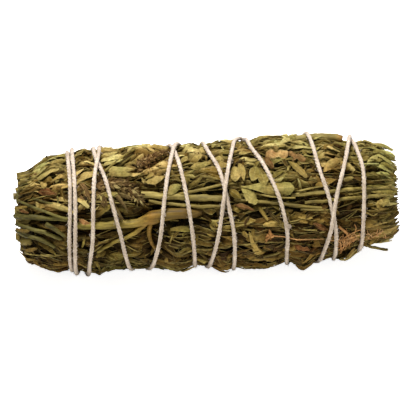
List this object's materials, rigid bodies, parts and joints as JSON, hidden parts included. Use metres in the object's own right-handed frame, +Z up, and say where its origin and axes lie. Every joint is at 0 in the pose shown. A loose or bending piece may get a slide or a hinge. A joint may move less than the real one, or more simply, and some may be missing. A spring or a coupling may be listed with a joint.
{
  "type": "sage bunch",
  "caption": "Dried sage and herb sprigs pressed into a thick roll, cut square at one end, leaf tips at the other, wound criss-cross with cotton string.",
  "frame": {"origin": "middle of the bunch's underside, on the table", "axes": "+X along the bunch towards the leaf tips, +Z up; -Y faces the viewer"},
  "size_m": [0.1018, 0.0352, 0.0344],
  "materials": {
    "leaf_green": "matt dry olive leaf",
    "leaf_dry": "matt dry khaki leaf",
    "leaf_inner": "matt dark pressed leaf",
    "stem": "matt dry stalk",
    "stem_red": "satin dry bark",
    "flower_brown": "matt dried flower",
    "flower_orange": "matt dried flower",
    "string": "soft twisted cotton"
  },
  "bodies": {
    "root": {"middle_sprig": "leaf_inner", "inner_sprig_1": "leaf_inner", "inner_sprig_2": "leaf_inner", "inner_sprig_3": "leaf_inner", "inner_sprig_4": "leaf_inner", "inner_sprig_5": "leaf_inner", "inner_sprig_6": "leaf_inner", "outer_sprig_1": "leaf_dry", "outer_sprig_2": "leaf_green", "outer_sprig_3": "leaf_dry", "outer_sprig_4": "leaf_green", "outer_sprig_5": "leaf_dry", "outer_sprig_6": "leaf_green", "outer_sprig_7": "leaf_dry", "outer_sprig_8": "leaf_green", "outer_sprig_9": "leaf_dry", "outer_sprig_10": "leaf_green", "outer_sprig_11": "leaf_dry", "outer_sprig_12": "leaf_green", "outer_sprig_13": "leaf_dry", "forked_stem": "stem_red", "straight_stem": "stem", "tan_stem": "stem", "thin_stem": "stem", "long_stem_upper": "stem", "long_stem_lower": "stem", "left_stem_upper": "stem", "left_stem_middle": "stem", "left_stem_lower": "stem", "slanted_stem": "stem", "top_stem": "stem_red", "stray_stem": "stem", "flower_spike_curved": "flower_brown", "flower_spike_straight": "flower_brown", "orange_flower": "flower_orange", "orange_calyx": "flower_orange", "string": "string"}
  },
  "joints": []
}
